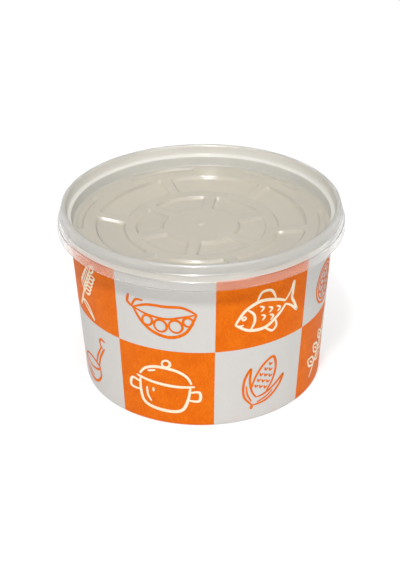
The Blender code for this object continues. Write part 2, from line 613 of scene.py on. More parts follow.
def wheat_ear() -> list[Stroke]:
    """An ear of wheat with a bent stalk."""
    strokes = [Stroke(((-7.5, -13.5), (-4.6, -7.0), (-2.2, -1.0)), 1.3)]
    for i in range(5):
        x, y = -2.4 + 1.15 * i, -1.6 + 2.5 * i
        strokes.append(leaf_stroke(x - 0.3, y, 5.4 - 0.25 * i, 108.0, 0.5))
        strokes.append(leaf_stroke(x + 0.5, y - 0.3, 5.4 - 0.25 * i, 22.0, 0.5))
    strokes.append(leaf_stroke(3.5, 10.8, 5.0, 66.0, 0.46))
    strokes.append(Stroke(((-5.2, -8.6), (-1.5, -7.5), (2.5, -9.0), (6.5, -13.0)), 1.2))
    strokes.append(Stroke(((-5.2, -8.6), (0.0, -10.0), (6.5, -13.0)), 1.0))
    return strokes


def pea_pod() -> list[Stroke]:
    """An open pod with four peas."""
    return [
        Stroke(((-13.0, 5.0), (-9.8, -2.2), (-4.5, -7.2), (2.0, -9.2), (8.5, -7.0), (14.0, 0.8)), 1.45),
        Stroke(((-13.0, 5.0), (-6.5, 1.8), (1.0, -0.2), (8.0, 0.2), (14.0, 0.8)), 1.0),
        Stroke(((-13.0, 5.0), (-6.0, 6.6), (2.0, 5.6), (9.0, 4.6), (14.0, 0.8)), 1.25),
        Stroke(((-13.0, 5.0), (-15.2, 7.4), (-14.0, 11.0)), 1.3),
        Stroke(((-13.4, 5.6), (-11.0, 8.6), (-7.6, 8.4)), 1.0),
        ring_stroke(-7.4, -0.9, 2.3),
        ring_stroke(-2.0, -3.4, 2.8),
        ring_stroke(4.4, -4.0, 2.9),
        ring_stroke(9.9, -2.4, 2.1),
    ]


def fish() -> list[Stroke]:
    """A fish seen from the side."""
    upper = ((-13.5, -0.5), (-8.5, 4.6), (-1.5, 6.4), (5.5, 3.6), (9.2, 0.9))
    lower = ((-13.5, -0.5), (-8.5, -5.0), (-1.5, -6.6), (5.5, -3.6), (9.2, -0.6))
    tail = (
        (9.0, 0.9), (12.2, 3.6), (14.6, 7.4), (13.4, 2.6), (12.6, 0.2), (13.6, -3.0), (14.4, -7.0),
        (11.8, -3.2), (9.0, -0.6),
    )
    strokes = [
        Stroke(upper, 1.4),
        Stroke(lower, 1.4),
        Stroke(tail, 1.2),
        Stroke(((-7.4, 4.4), (-5.4, 1.6), (-5.6, -2.0), (-7.6, -4.8)), 1.15),
        ring_stroke(-9.6, 1.3, 0.75, 0.9),
        Stroke(((-3.2, 6.9), (-0.6, 10.2), (3.4, 9.2), (5.0, 4.6)), 1.1),
        Stroke(((-1.6, -6.9), (1.2, -9.8), (3.4, -8.4), (3.4, -5.4)), 1.1),
        Stroke(((-13.0, -1.2), (-11.4, -1.8), (-10.2, -1.6)), 0.9),
    ]
    for i, (x, y) in enumerate(((-2.4, 2.8), (-2.4, -1.4), (1.2, 0.8), (1.2, -3.0), (4.8, -0.6))):
        strokes.append(Stroke(((x, y + 1.4), (x + 1.5, y), (x, y - 1.4)), 0.85 + 0.05 * (i % 2)))
    return strokes


def lidded_pot() -> list[Stroke]:
    """A cooking pot with two handles and its lid on."""
    pot = (
        (-10.6, 1.6), (-10.2, -4.0), (-8.4, -9.6), (-4.0, -11.6), (4.0, -11.6), (8.4, -9.6), (10.2, -4.0),
        (10.6, 1.6),
    )
    strokes = [
        Stroke(pot, 1.45),
        Stroke(((-12.4, 2.2), (-5.0, 1.2), (5.0, 1.3), (12.4, 2.4)), 1.3),
        Stroke(((-11.0, 3.4), (-8.6, 7.0), (-3.6, 9.2), (3.6, 9.2), (8.6, 7.0), (11.0, 3.4)), 1.35),
        ring_stroke(0.0, 11.6, 1.7, 1.05),
        Stroke(((-7.6, 6.0), (-4.2, 7.4)), 0.9),
        Stroke(((-7.4, -2.0), (-6.8, -6.0), (-5.0, -8.8)), 0.95),
        Stroke(((-4.6, -1.6), (-4.4, -3.6)), 0.9),
    ]
    for side in (-1.0, 1.0):
        handle = ((10.4, -0.8), (14.4, -0.2), (14.6, -4.4), (10.0, -4.6))
        strokes.append(Stroke(tuple((side * x, y) for x, y in handle), 1.2))
    return strokes


def corn_cob() -> list[Stroke]:
    """A cob of corn between two leaves of its husk."""
    cob = ((-4.6, -5.0), (-5.2, 2.0), (-3.8, 9.0), (-0.2, 13.6), (3.6, 9.2), (5.2, 2.0), (4.4, -5.0))
    left = ((0.0, -13.4), (-6.4, -9.4), (-10.0, -1.4), (-9.6, 5.6), (-7.0, -1.0), (-3.4, -6.2), (0.2, -8.8))
    right = ((0.0, -13.4), (6.4, -9.6), (10.4, -2.4), (10.8, 4.4), (7.6, -1.6), (3.8, -6.4), (0.2, -8.8))
    strokes = [
        Stroke(cob, 1.35),
        Stroke(left, 1.3),
        Stroke(right, 1.3),
        Stroke(((-7.8, -3.6), (-5.2, -8.0), (-1.4, -11.4)), 0.9),
        Stroke(((7.8, -4.0), (5.4, -8.0), (1.8, -11.4)), 0.9),
        Stroke(((-0.2, -13.2), (0.3, -15.6)), 1.5),
    ]
    for y, count in ((-2.6, 3), (0.6, 3), (3.8, 3), (7.0, 2), (10.0, 1)):
        for place in range(count):
            x = (place - (count - 1) / 2.0) * 2.7
            strokes.append(Stroke(((x - 0.95, y + 0.5), (x, y - 0.75), (x + 0.95, y + 0.5)), 0.95))
    return strokes


def herb_sprig() -> list[Stroke]:
    """A sprig with pairs of leaves."""
    strokes = [Stroke(((-8.4, -13.4), (-4.4, -6.4), (-0.6, 0.4), (2.2, 7.4), (3.2, 9.6)), 1.35)]
    for x, y, length, turn in (
        (-5.0, -7.4, 8.4, 148.0), (-4.2, -6.0, 8.8, 12.0), (-2.0, -2.2, 8.0, 140.0), (-1.0, -0.6, 8.4, 20.0),
        (0.6, 3.2, 6.6, 132.0), (1.4, 5.0, 6.8, 26.0), (3.1, 9.4, 6.4, 74.0),
    ):
        strokes.append(leaf_stroke(x, y, length, turn, 0.52, 1.1))
        cos, sin = math.cos(math.radians(turn)), math.sin(math.radians(turn))
        vein = ((x + 1.6 * cos, y + 1.6 * sin), (x + 0.68 * length * cos, y + 0.68 * length * sin))
        strokes.append(Stroke(vein, 0.85))
    return strokes


def lemon_slice() -> list[Stroke]:
    """A round slice of lemon before a second one."""
    strokes = [
        ring_stroke(-2.4, -1.8, 10.2, 1.4),
        ring_stroke(-2.4, -1.8, 8.3, 0.95),
        Stroke(((3.2, 9.4), (7.8, 10.6), (12.6, 7.0), (13.0, 0.4), (10.0, -4.0)), 1.4),
        Stroke(((5.0, 7.6), (8.2, 8.2), (10.9, 5.6), (11.0, 1.2), (9.2, -1.6)), 0.95),
    ]
    for i in range(8):
        turn = 360.0 / 8 * i + 12.0
        cos, sin = math.cos(math.radians(turn)), math.sin(math.radians(turn))
        strokes.append(leaf_stroke(-2.4 + 7.0 * cos, -1.8 + 7.0 * sin, 5.6, turn + 180.0, 0.62, 0.95))
    return strokes


def ladle() -> list[Stroke]:
    """A ladle leaning to the right."""
    mouth = ((-12.0, -2.8), (-7.4, -0.6), (-1.0, -0.6), (4.6, -3.4), (0.4, -5.8), (-6.0, -5.8), (-12.0, -2.8))
    return [
        Stroke(((12.4, 13.2), (9.4, 14.0), (8.0, 11.4), (9.6, 8.8)), 1.25),
        Stroke(((11.2, 9.4), (6.4, 2.8), (3.8, -3.6)), 1.25),
        Stroke(((8.8, 9.6), (4.2, 3.2), (1.6, -2.6)), 1.15),
        Stroke(((-12.0, -2.8), (-11.6, -8.4), (-7.0, -12.8), (-0.6, -12.8), (4.2, -8.6), (4.6, -3.4)), 1.45),
        Stroke(mouth, 1.15),
        Stroke(((-8.8, -8.0), (-6.4, -10.2), (-3.2, -11.0)), 0.9),
    ]


@dataclass(frozen=True)
class PadRing:
    """One ring of pads pressed into the lid's panel. Sizes in mm, angles in degrees."""

    inner: float
    outer: float
    bar: float
    phase: float
    depth: float
    corner: float


@dataclass
class Lid:
    """The moulded lid: pressed panel, plug wall, hollow ring and stepped skirt. Sizes in mm."""

    sheet: float = 0.6
    panel_radius: float = 52.9
    levels: tuple[Point, ...] = ((0.0, 66.0), (31.3, 66.0), (44.0, 67.9), (48.4, 68.2), (52.9, 68.6))
    pads_in_a_ring: int = 6
    rings: tuple[PadRing, ...] = (
        PadRing(15.2, 27.4, 1.8, 20.7, 1.1, 1.6),
        PadRing(31.3, 44.0, 1.8, 50.7, 1.1, 1.9),
        PadRing(48.4, 52.0, 11.4, 20.7, 0.6, 1.0),
    )
    press_run: float = 1.1
    edge_steps: tuple[float, ...] = (-0.15, 0.0, 0.12, 0.26, 0.42, 0.58, 0.72, 0.86, 1.05)
    bar_lines: tuple[float, ...] = (-1.2, -0.25, 0.0, 0.14, 0.28, 0.42, 0.56, 0.7, 0.86, 1.2, 1.8)
    narrow_bar: float = 5.0
    bands: tuple[float, ...] = (14.0, 29.35, 46.2, 52.91)
    middle_rings: tuple[float, ...] = (1.76, 6.0, 10.0)
    ring_spacing: float = 1.6
    gate: tuple[Point, ...] = ((0.0, 0.5), (0.77, 0.5), (1.1, 0.1), (1.32, 0.0))
    inside: tuple[Corner, ...] = (
        (53.1, 68.75, 0.3), (53.5, 72.95, 0.35), (55.0, 73.4, 0.4), (55.38, 75.4, 0.0),
    )
    crest_centre: Point = (56.5, 76.5)
    crest_radius: float = 1.1
    crest_ends: tuple[float, float] = (175.0, 5.0)
    crest_steps: int = 12
    outside: tuple[Corner, ...] = (
        (57.63, 75.6, 0.0), (57.75, 74.15, 0.3), (58.4, 73.75, 0.3), (58.6, 71.45, 0.2), (59.2, 71.15, 0.25),
        (59.5, 67.8, 0.0),
    )
    lines_in_a_sector: int = 50
    shoulder_radius: float = 58.1
    # outer radius of the plug wall, where its painted-light finish ends
    plug_outer: float = 55.4

    def level(self, radius: float) -> float:
        """Height of the panel at a radius.

        Args:
            radius: in mm.

        Returns:
            The height in mm, before any pad is pressed.
        """
        for (r0, z0), (r1, z1) in zip(self.levels, self.levels[1:]):
            if radius <= r1:
                return z0 + (z1 - z0) * (radius - r0) / (r1 - r0)
        return self.levels[-1][1]

    def panel_radii(self) -> list[float]:
        """Radii of the panel's rings of vertices, closest together along the pads' edges.

        Returns:
            The radii in mm, outwards.
        """
        radii = list(self.middle_rings)
        for ring in self.rings:
            rising = [ring.inner + step for step in self.edge_steps]
            falling = [ring.outer - step for step in reversed(self.edge_steps)]
            gap = falling[0] - rising[-1]
            count = max(1, round(gap / self.ring_spacing))
            radii += rising + [rising[-1] + gap * i / count for i in range(1, count)] + falling
        return radii + [self.panel_radius]

    def rise(self) -> list[Point]:
        """Profile from the panel's edge over the ring to the bottom of the skirt.

        Returns:
            The points (radius, height) in mm, outwards.
        """
        edge = (self.panel_radius, self.level(self.panel_radius), 0.0)
        crest = arc(self.crest_centre, self.crest_radius, *self.crest_ends, self.crest_steps)
        return rounded((edge, *self.inside))[1:] + crest + rounded(self.outside)

    def profile(self) -> list[Point]:
        """Closed section of the lid: its upper face outwards, then its under face back.

        Returns:
            The points (radius, height) in mm.
        """
        middle = self.level(0.0)
        gate = [(radius, middle + height) for radius, height in self.gate]
        panel = [(radius, self.level(radius)) for radius in self.panel_radii()]
        rise = self.rise()
        under_rise = offset_inwards([panel[-1]] + rise, self.sheet)[1:]
        under_panel = [(radius, height - self.sheet) for radius, height in panel]
        return gate + panel + rise + under_rise[::-1] + under_panel[::-1] + [(0.0, middle - self.sheet)]

    def pad_depth(self, ring: PadRing, x: float, y: float) -> float:
        """How far a point of the panel is pressed down by one ring of pads.

        Args:
            ring: the ring of pads.
            x: the point's place in mm.
            y: the point's place in mm.

        Returns:
            The depth in mm, 0 outside the pads.
        """
        radius = math.hypot(x, y)
        pitch = 360.0 / self.pads_in_a_ring
        turn = (math.degrees(math.atan2(y, x)) - ring.phase) % pitch
        from_bar = math.radians(min(turn, pitch - turn))
        across = radius * math.sin(from_bar) - ring.bar
        along = min(radius - ring.inner, ring.outer - radius)
        if across < ring.corner and along < ring.corner:
            inside = ring.corner - math.hypot(ring.corner - across, ring.corner - along)
        else:
            inside = min(across, along)
        t = min(max(inside / self.press_run, 0.0), 1.0)
        return ring.depth * t * t * (3.0 - 2.0 * t)

    def line_angle(self, ring: PadRing, line: int, radius: float) -> float:
        """Angle of one of the panel's lines of vertices, closest together along the bars.

        Args:
            ring: the ring of pads that the line crosses.
            line: number of the line, counted from the first bar.
            radius: where on the line, in mm.

        Returns:
            The angle in degrees.
        """
        pitch = 360.0 / self.pads_in_a_ring
        sector, place = divmod(line, self.lines_in_a_sector)
        edges = [math.degrees(math.asin((ring.bar + step) / radius)) for step in self.bar_lines]
        near = [0.0] + edges
        middle = self.lines_in_a_sector - 2 * len(edges)
        spread = pitch - 2 * edges[-1]
        far = [pitch - edge for edge in reversed(edges)]
        between = [edges[-1] + spread * (i + 1) / middle for i in range(middle - 1)]
        return ring.phase + sector * pitch + (near + between + far)[place]

    def shape_panel(self, obj: bpy.types.Object) -> None:
        """Moves the panel's lines to the bars' edges and presses the pads.

        Args:
            obj: the turned lid, in object mode.
        """
        total = self.lines_in_a_sector * self.pads_in_a_ring
        for vertex in obj.data.vertices:
            x, y, z = vertex.co / MM
            radius = math.hypot(x, y)
            if not self.bands[0] <= radius <= self.bands[-1] or z > self.levels[-1][1] + 0.1:
                continue
            ring = next(each for each, band in zip(self.rings, self.bands[1:]) if radius <= band)
            if ring.bar < self.narrow_bar:
                line = round(((math.degrees(math.atan2(y, x)) - self.rings[0].phase) % 360.0) / 360.0 * total)
                shift = round((ring.phase - self.rings[0].phase) / 360.0 * total)
                turn = math.radians(self.line_angle(ring, (line - shift) % total, radius))
                x = radius * math.cos(turn)
                y = radius * math.sin(turn)
            z -= sum(self.pad_depth(each, x, y) for each in self.rings)
            vertex.co = Vector((x, y, z)) * MM

    def build(self, plastics: Sequence[bpy.types.Material]) -> bpy.types.Object:
        """Models the lid and dresses it.

        Args:
            plastics: finishes of the thin skirt, of the thicker panel and ring, and of the plug wall, the
                last a lit copy that paints light on the wall's shade.

        Returns:
            The finished lid.
        """
        total = self.lines_in_a_sector * self.pads_in_a_ring
        obj = Bench.lathe("lid_moulded", self.profile(), total)
        Bench.take(obj)
        obj.rotation_euler.z = math.radians(self.rings[0].phase)
        bpy.ops.object.transform_apply(location=False, rotation=True, scale=False)
        self.shape_panel(obj)
        for plastic in plastics:
            obj.data.materials.append(plastic)
        for face in obj.data.polygons:
            radius = face.center.xy.length / MM
            # The plug wall gets its own lit finish: painted light on the shade between ring and panel.
            plug = self.panel_radius < radius < self.plug_outer
            face.material_index = 2 if plug else int(radius < self.shoulder_radius)
        Bench.smooth(obj, 50.0)
        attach(obj, "root")
        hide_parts("lid")
        return obj


class Wiring:
    """Adds and joins the nodes of one material or one node group."""

    def __init__(self, tree: bpy.types.NodeTree) -> None:
        """Keeps the tree that the nodes go into."""
        self.tree = tree

    def add(
        self, kind: str, entries: Mapping[str, object] | None = None, **settings: object
    ) -> bpy.types.Node:
        """Adds a node.

        Args:
            kind: the node's type.
            entries: what feeds its inputs, by name.
            settings: its properties, by name.

        Returns:
            The node.
        """
        node = self.tree.nodes.new(kind)
        for key, value in settings.items():
            setattr(node, key, value)
        self.fill(node, entries or {})
        return node

    def fill(self, node: bpy.types.Node, entries: Mapping[str, object]) -> None:
        """Feeds a node's inputs by name.

        Args:
            node: the node.
            entries: a socket, which is linked, or a value for each named input.
        """
        for name, value in entries.items():
            self.feed(node.inputs[name], value)

    def feed(self, socket: bpy.types.NodeSocket, value: object) -> None:
        """Links a socket to another, or sets its own value.

        Args:
            socket: the input.
            value: the socket or the value that feeds it.
        """
        if isinstance(value, bpy.types.NodeSocket):
            self.tree.links.new(value, socket)
        else:
            socket.default_value = value

    def math(self, operation: str, *values: object) -> bpy.types.NodeSocket:
        """A Math node.

        Args:
            operation: the node's operation.
            values: its inputs, each a number or a socket.

        Returns:
            The node's output.
        """
        node = self.add("ShaderNodeMath", operation=operation)
        for socket, value in zip(node.inputs, values):
            self.feed(socket, value)
        return node.outputs[0]

    def weigh(self, *parts: tuple[object, float]) -> bpy.types.NodeSocket:
        """A sum of values, each times its weight.

        Args:
            parts: (value, weight) pairs, two or more.

        Returns:
            The sum.
        """
        total, *others = (self.math("MULTIPLY", value, weight) for value, weight in parts)
        for other in others:
            total = self.math("ADD", total, other)
        return total

    def noise(
        self, vector: object, scale: object, detail: float = 2.0, roughness: float = 0.5
    ) -> bpy.types.NodeSocket:
        """A noise texture's value, from 0 to 1.

        Args:
            vector: where the noise is looked up.
            scale: its scale.
            detail: its octaves.
            roughness: how strong the finer octaves are.

        Returns:
            The value.
        """
        entries = {"Vector": vector, "Scale": scale, "Detail": detail, "Roughness": roughness}
        return self.add("ShaderNodeTexNoise", entries).outputs["Fac"]

    def ramp(
        self, value: object, low: float, high: float, to_low: float = 0.0, to_high: float = 1.0
    ) -> bpy.types.NodeSocket:
        """A clamped Map Range.

        Args:
            value: the value to map.
            low: the value that gives to_low.
            high: the value that gives to_high.
            to_low: the first result.
            to_high: the last result.

        Returns:
            The result.
        """
        entries = {"Value": value, "From Min": low, "From Max": high, "To Min": to_low, "To Max": to_high}
        return self.add("ShaderNodeMapRange", entries).outputs["Result"]

    def mix(self, factor: object, first: object, second: object) -> bpy.types.NodeSocket:
        """A colour mix.

        Args:
            factor: how much of the second colour.
            first: colour or socket.
            second: colour or socket.

        Returns:
            The mixed colour.
        """
        node = self.add("ShaderNodeMix", data_type="RGBA")
        self.fill(node, {"Factor": factor, "A": first, "B": second})
        return node.outputs["Result"]

    def place(self) -> bpy.types.NodeSocket:
        """The Object coordinates, in metres."""
        return self.add("ShaderNodeTexCoord").outputs["Object"]

    def split(self, vector: object) -> tuple[bpy.types.NodeSocket, ...]:
        """The three parts of a vector."""
        return tuple(self.add("ShaderNodeSeparateXYZ", {"Vector": vector}).outputs)

    def bump(self, height: object, depth: float, strength: float = 1.0) -> bpy.types.NodeSocket:
        """A normal from a height.

        Args:
            height: the height socket, about 0 to 1.
            depth: what a height of 1 stands for, in mm.
            strength: the node's strength.

        Returns:
            The normal.
        """
        entries = {"Strength": strength, "Distance": depth * MM, "Height": height}
        return self.add("ShaderNodeBump", entries).outputs["Normal"]

    def use(self, group: bpy.types.NodeTree, **inputs: object) -> bpy.types.Node:
        """Places a node group.

        Args:
            group: the group.
            inputs: what feeds its inputs, by name.

        Returns:
            The group's node.
        """
        node = self.add("ShaderNodeGroup", node_tree=group)
        self.fill(node, inputs)
        return node


def new_material(name: str) -> tuple[bpy.types.Material, Wiring, bpy.types.Node]:
    """A new node material.

    Args:
        name: the material's name.

    Returns:
        The material, its wiring and its Principled BSDF.
    """
    mat = bpy.data.materials.new(name)
    mat.use_nodes = True
    return mat, Wiring(mat.node_tree), mat.node_tree.nodes["Principled BSDF"]


def new_group(
    name: str, inputs: Sequence[tuple[str, str]], outputs: Sequence[tuple[str, str]]
) -> tuple[bpy.types.NodeTree, Wiring, bpy.types.Node, bpy.types.Node]:
    """A new shader node group.

    Args:
        name: the group's name.
        inputs: (name, socket type) of each input.
        outputs: (name, socket type) of each output.

    Returns:
        The group, its wiring, its input node and its output node.
    """
    tree = bpy.data.node_groups.new(name, "ShaderNodeTree")
    for label, kind in inputs:
        tree.interface.new_socket(name=label, in_out="INPUT", socket_type=kind)
    for label, kind in outputs:
        tree.interface.new_socket(name=label, in_out="OUTPUT", socket_type=kind)
    wiring = Wiring(tree)
    return tree, wiring, wiring.add("NodeGroupInput"), wiring.add("NodeGroupOutput")


def fibre_group() -> bpy.types.NodeTree:
    """Paper fibre: cloudy tone and fine felt, shared by every paper finish.

    Returns:
        A group with Place and Grain in, Tone and Height out.
    """
    tree, wiring, given, wanted = new_group(
        "paper_fibre",
        (("Place", "NodeSocketVector"), ("Grain", "NodeSocketFloat")),
        (("Tone", "NodeSocketFloat"), ("Height", "NodeSocketFloat")),
    )
    place = given.outputs["Place"]
    grain = given.outputs["Grain"]
    stretch = wiring.add("ShaderNodeMapping", {"Scale": (1.0, 1.0, 0.45), "Vector": place})
    felt = wiring.noise(stretch.outputs["Vector"], grain, 4.0, 0.62)
    cloud = wiring.noise(place, wiring.math("MULTIPLY", grain, 0.12), 3.0, 0.55)
    speck = wiring.noise(place, wiring.math("MULTIPLY", grain, 1.9), 1.0, 0.4)
    tone = wiring.weigh((felt, 0.45), (cloud, 0.3), (speck, 0.25))
    wiring.fill(wanted, {"Tone": tone, "Height": wiring.weigh((felt, 0.7), (speck, 0.3))})
    return tree


def handling_group() -> bpy.types.NodeTree:
    """Faint rubs and smears from handling, shared by paper and plastic.

    Returns:
        A group with Place and Size in, Rub out.
    """
    tree, wiring, given, wanted = new_group(
        "handling_marks",
        (("Place", "NodeSocketVector"), ("Size", "NodeSocketFloat")),
        (("Rub", "NodeSocketFloat"),),
    )
    scale = wiring.math("DIVIDE", 1.0, given.outputs["Size"])
    broad = wiring.noise(given.outputs["Place"], scale, 3.0, 0.6)
    entries = {"Scale": (1.0, 1.0, 5.0), "Rotation": (0.5, 0.3, 0.2), "Vector": given.outputs["Place"]}
    streak = wiring.add("ShaderNodeMapping", entries)
    fine = wiring.noise(streak.outputs["Vector"], wiring.math("MULTIPLY", scale, 4.0), 4.0, 0.7)
    rub = wiring.math("MULTIPLY", wiring.ramp(broad, 0.4, 0.75), wiring.ramp(fine, 0.45, 0.8, 0.2, 1.0))
    wiring.feed(wanted.inputs["Rub"], rub)
    return tree


@dataclass(frozen=True)
class Inks:
    """The print's two colours, as linear RGBA."""

    orange: Colour = (0.65, 0.114, 0.001, 1.0)
    orange_thin: Colour = (0.83, 0.195, 0.004, 1.0)
    white: Colour = (0.59, 0.575, 0.553, 1.0)
    white_cloudy: Colour = (0.555, 0.54, 0.517, 1.0)
    cream: Colour = (0.84, 0.76, 0.6, 1.0)
    cream_thin: Colour = (0.86, 0.68, 0.45, 1.0)


INK_SHINE = 0.07  # the print is dull: its Specular IOR Level


@dataclass(frozen=True)
class CheckerPrint:
    """Where the checker lies on the wall. Heights in mm, angles in degrees."""

    pitch: float = 44.35
    seam: float = 97.85
    split: float = 36.3
    lean: float = 1.0
    height: float = 71.0

    def line_angle(self, line: float, height: float) -> float:
        """Angle of a column line, or of a place between two, at a height."""
        return self.seam + self.pitch * line + self.lean * (height / self.height - 0.5)


@dataclass(frozen=True)
class Felt:
    """How a paper finish's fibre shows in its roughness and relief. The depth in mm."""

    grain: float
    roughness: tuple[float, float]
    depth: float
    strength: float
    rub_size: float = 0.0
    rub_polish: float = 0.0

    def dress(
        self,
        wiring: Wiring,
        shader: bpy.types.Node,
        fibre: bpy.types.NodeTree,
        handling: bpy.types.NodeTree | None = None,
    ) -> bpy.types.NodeSocket:
        """Feeds a material's Roughness and Normal.

        Args:
            wiring: the material's wiring.
            shader: its Principled BSDF.
            fibre: the paper fibre group.
            handling: the handling marks group, or None on a finish without rubs.

        Returns:
            The fibre's tone, for the colours.
        """
        place = wiring.place()
        felt = wiring.use(fibre, Place=place, Grain=self.grain)
        rough = wiring.ramp(felt.outputs["Height"], 0.3, 0.7, *self.roughness)
        if handling:
            rub = wiring.use(handling, Place=place, Size=self.rub_size).outputs["Rub"]
            rough = wiring.math("SUBTRACT", rough, wiring.math("MULTIPLY", rub, self.rub_polish))
        normal = wiring.bump(felt.outputs["Height"], self.depth, self.strength)
        wiring.fill(shader, {"Roughness": rough, "Normal": normal})
        return felt.outputs["Tone"]


@dataclass(frozen=True)
class PrintedPaper:
    """Coated board printed with the orange and white checker."""

    inks: Inks
    layout: CheckerPrint
    felt: Felt = Felt(1500.0, (0.44, 0.58), 0.03, 0.6, 0.02, 0.12)
    foot_smear: float = 0.16
    foot_height: tuple[float, float] = (0.001, 0.009)
    smear_scale: float = 260.0
    creep_scale: float = 900.0
    creep_across: float = 0.22
    creep_up: float = 0.2
    shine: float = INK_SHINE

    def material(self, fibre: bpy.types.NodeTree, handling: bpy.types.NodeTree) -> bpy.types.Material:
        """Makes the material.

        Args:
            fibre: the paper fibre group.
            handling: the handling marks group.

        Returns:
            The material.
        """
        mat, wiring, shader = new_material("printed_paper")
        tone = self.felt.dress(wiring, shader, fibre, handling)
        place = wiring.place()
        orange = wiring.mix(wiring.ramp(tone, 0.42, 0.72), self.inks.orange, self.inks.orange_thin)
        white = wiring.mix(wiring.ramp(tone, 0.35, 0.7), self.inks.white, self.inks.white_cloudy)
        foot = wiring.ramp(wiring.split(place)[2], *self.foot_height, 1.0, 0.0)
        smear = wiring.ramp(wiring.noise(place, self.smear_scale, 3.0, 0.6), 0.5, 0.75, 0.0, self.foot_smear)
        white = wiring.mix(wiring.math("MULTIPLY", foot, smear), white, self.inks.orange_thin)
        colour = wiring.mix(self.orange_mask(wiring, place), white, orange)
        wiring.fill(shader, {"Base Color": colour, "Specular IOR Level": self.shine})
        return mat

    def orange_mask(self, wiring: Wiring, place: bpy.types.NodeSocket) -> bpy.types.NodeSocket:
        """1 on the checker's orange fields and 0 on its white ones.

        Args:
            wiring: the material's wiring.
            place: the Object coordinates.

        Returns:
            The mask.
        """
        x, y, z = wiring.split(place)
        creep = wiring.math("SUBTRACT", wiring.noise(place, self.creep_scale, 2.0), 0.5)
        degrees = wiring.math("DEGREES", wiring.math("ARCTAN2", y, x))
        height = wiring.math("DIVIDE", z, MM)
        share = wiring.math("SUBTRACT", wiring.math("DIVIDE", height, self.layout.height), 0.5)
        lean = wiring.math("MULTIPLY", share, self.layout.lean)
        turn = wiring.math("SUBTRACT", degrees, wiring.math("ADD", lean, self.layout.seam))
        turn = wiring.math("ADD", turn, wiring.math("MULTIPLY", creep, self.creep_across))
        turn = wiring.math("FLOORED_MODULO", turn, 360.0)
        column = wiring.math("FLOOR", wiring.math("DIVIDE", turn, self.layout.pitch))
        odd = wiring.math("FLOORED_MODULO", column, 2.0)
        ragged = wiring.math("ADD", height, wiring.math("MULTIPLY", creep, self.creep_up))
        lower = wiring.math("LESS_THAN", ragged, self.layout.split)
        return wiring.math("COMPARE", odd, lower, 0.5)


@dataclass(frozen=True)
class PlainPaper:
    """Unprinted board, coated on the soup side."""

    colour: Colour = (0.93, 0.9, 0.82, 1.0)
    shade: Colour = (0.9, 0.865, 0.775, 1.0)
    felt: Felt = Felt(1200.0, (0.37, 0.52), 0.025, 0.6, 0.015, 0.1)

    def material(self, fibre: bpy.types.NodeTree, handling: bpy.types.NodeTree) -> bpy.types.Material:
        """Makes the material.

        Args:
            fibre: the paper fibre group.
            handling: the handling marks group.

        Returns:
            The material.
        """
        mat, wiring, shader = new_material("plain_paper")
        tone = wiring.ramp(self.felt.dress(wiring, shader, fibre, handling), 0.35, 0.7)
        wiring.fill(shader, {"Base Color": wiring.mix(tone, self.colour, self.shade)})
        return mat


@dataclass(frozen=True)
class LineInk:
    """The ink, or the bare white, that the line drawings show in."""

    name: str
    colour: Colour
    thin: Colour
    felt: Felt = Felt(1700.0, (0.45, 0.6), 0.03, 0.5)
    shine: float = INK_SHINE

    def material(self, fibre: bpy.types.NodeTree) -> bpy.types.Material:
        """Makes the material.

        Args:
            fibre: the paper fibre group.

        Returns:
            The material.
        """
        mat, wiring, shader = new_material(self.name)
        tone = wiring.ramp(self.felt.dress(wiring, shader, fibre), 0.4, 0.72)
        colour = wiring.mix(tone, self.colour, self.thin)
        wiring.fill(shader, {"Base Color": colour, "Specular IOR Level": self.shine})
        return mat


@dataclass(frozen=True)
class MilkyPlastic:
    """Moulded polypropylene: clear enough to see paper behind it, and milkier where it is thick. A still
    milkier copy serves as painted light on a shaded wall.

    The core's colours hold within core_edge, a radius in mm that they fade out over.
    """

    name: str
    colour: Colour = (0.99, 0.985, 0.97, 1.0)
    cloudy: Colour = (0.975, 0.965, 0.945, 1.0)
    roughness: float = 0.2
    transmission: float = 0.97
    refraction: float = 1.28
    gloss: float = 0.0
    gloss_roughness: float = 0.1
    scatter: float = 0.0
    core: Colour = (0.99, 0.985, 0.97, 1.0)
    core_cloudy: Colour = (0.975, 0.965, 0.945, 1.0)
    core_edge: tuple[float, float] = (55.3, 56.7)
    scatter_depth: float = 1.5
    scatter_radius: Place = (1.0, 0.95, 0.85)
    coat_refraction: float = 1.72
    rub_size: float = 0.03
    rub_dull: float = 0.12
    flow_scale: float = 70.0
    ripple_scale: float = 160.0
    ripple_depth: float = 0.06
    ripple_strength: float = 0.5

    def material(self, handling: bpy.types.NodeTree) -> bpy.types.Material:
        """Makes the material.

        Args:
            handling: the handling marks group.

        Returns:
            The material.
        """
        mat, wiring, shader = new_material(self.name)
        place = wiring.place()
        rub = wiring.use(handling, Place=place, Size=self.rub_size).outputs["Rub"]
        flow = wiring.noise(place, self.flow_scale, 3.0, 0.5)
        x, y, _ = wiring.split(place)
        square = wiring.math("ADD", wiring.math("MULTIPLY", x, x), wiring.math("MULTIPLY", y, y))
        first, last = self.core_edge
        thick = wiring.ramp(wiring.math("SQRT", square), first * MM, last * MM, 1.0, 0.0)
        core = wiring.mix(flow, self.core, self.core_cloudy)
        rough = wiring.ramp(flow, 0.3, 0.7, self.roughness - 0.03, self.roughness + 0.04)
        ripple = wiring.noise(place, self.ripple_scale, 2.0)
        ripple = wiring.math("ADD", ripple, wiring.math("MULTIPLY", rub, 0.15))
        wiring.fill(shader, {
            "Base Color": wiring.mix(thick, wiring.mix(flow, self.colour, self.cloudy), core),
            "Roughness": wiring.math("ADD", rough, wiring.math("MULTIPLY", rub, self.rub_dull)),
            "Normal": wiring.bump(ripple, self.ripple_depth, self.ripple_strength),
            "Transmission Weight": self.transmission,
            "IOR": self.refraction,
            "Subsurface Weight": self.scatter,
            "Subsurface Scale": self.scatter_depth * MM,
            "Subsurface Radius": self.scatter_radius,
            "Coat Weight": self.gloss,
            "Coat Roughness": self.gloss_roughness,
            "Coat IOR": self.coat_refraction,
        })
        return mat


